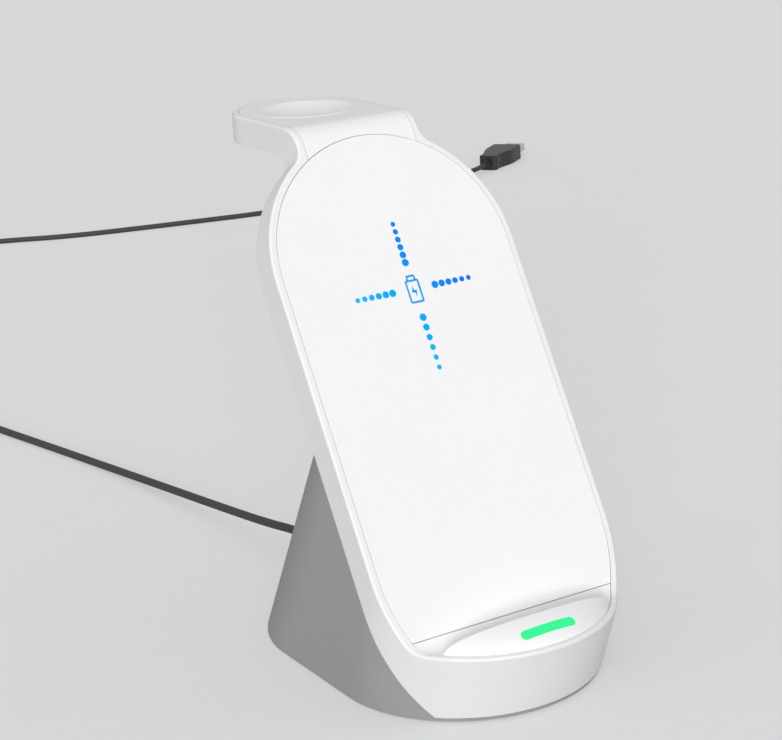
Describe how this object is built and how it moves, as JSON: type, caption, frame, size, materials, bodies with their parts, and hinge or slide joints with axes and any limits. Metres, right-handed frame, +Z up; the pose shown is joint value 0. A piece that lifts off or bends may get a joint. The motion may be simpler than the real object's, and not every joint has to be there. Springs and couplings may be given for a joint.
{
  "type": "wireless charger",
  "caption": "Leaning wireless charging stand with a round-topped phone pad, lit lip, watch shelf on a bent arm, hollow base and USB lead.",
  "frame": {"origin": "on the table, under the middle of the stand's bounding box, without the lead", "axes": "+X to the right seen from the front, -Y towards the user, +Z up"},
  "size_m": [0.4921, 0.6807, 0.1519],
  "materials": {
    "white_housing": "satin",
    "white_skin": "satin",
    "blue_light": "lit translucent inlay",
    "green_light": "lit translucent inlay",
    "grey_shell": "satin",
    "grey_rubber": "matte",
    "black_rubber": "matte",
    "black_plastic": "matte",
    "steel": "zinc plated",
    "weight_steel": "plain",
    "copper": "wound wire",
    "ferrite": "matte",
    "circuit_board": "coated",
    "plug_metal": "nickel plated",
    "gold": "plated"
  },
  "bodies": {
    "root": {"front_housing": "white_housing", "phone_pad": "white_skin", "phone_ledge": "white_skin", "watch_pad": "white_skin", "back_cover": "white_housing", "display_dots": "blue_light", "battery_sign": "blue_light", "indicator_bar": "green_light", "base_shell": "grey_shell", "base_plate": "grey_shell", "rubber_feet": "grey_rubber", "cover_screws": "steel", "carrier_screws": "steel", "base_screws": "steel", "board_screws": "steel", "counterweight": "weight_steel", "coil_carrier": "black_plastic", "watch_coil_holder": "black_plastic", "upper_charging_coil": "copper", "lower_charging_coil": "copper", "watch_coil": "copper", "upper_coil_shield": "ferrite", "lower_coil_shield": "ferrite", "watch_coil_shield": "ferrite", "watch_magnet": "ferrite", "display_board": "circuit_board", "indicator_board": "circuit_board", "main_board": "circuit_board", "board_components": "black_plastic", "cable_gland": "black_rubber", "power_cable": "black_rubber", "plug_body": "black_plastic", "plug_shell": "plug_metal", "plug_tongue": "black_plastic", "plug_contacts": "gold"}
  },
  "joints": []
}
